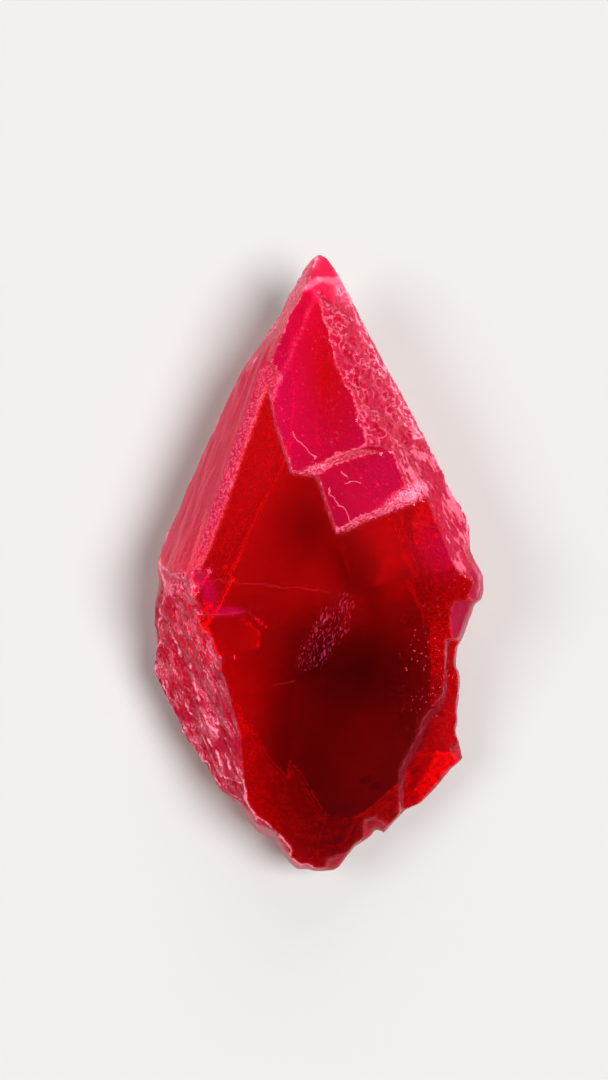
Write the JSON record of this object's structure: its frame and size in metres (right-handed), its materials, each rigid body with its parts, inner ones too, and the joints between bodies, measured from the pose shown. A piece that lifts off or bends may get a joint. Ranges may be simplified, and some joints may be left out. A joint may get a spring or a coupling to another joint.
{
  "type": "rhodonite stone",
  "caption": "Loose deep red see-through crystal with a steep point, frosted natural faces, clear stepped cleavage faces and a broken lower end, lying on its flat back.",
  "frame": {"origin": "middle of the box's underside, on the surface the stone lies on", "axes": "+Y towards the crystal's point, +X to the right seen from its front, +Z out of the front, up from the surface"},
  "size_m": [0.0332, 0.0622, 0.0168],
  "materials": {
    "red_crystal": "clear deep red cleavage faces, frosted pink natural faces"
  },
  "bodies": {
    "root": {"crystal": "red_crystal"}
  },
  "joints": []
}
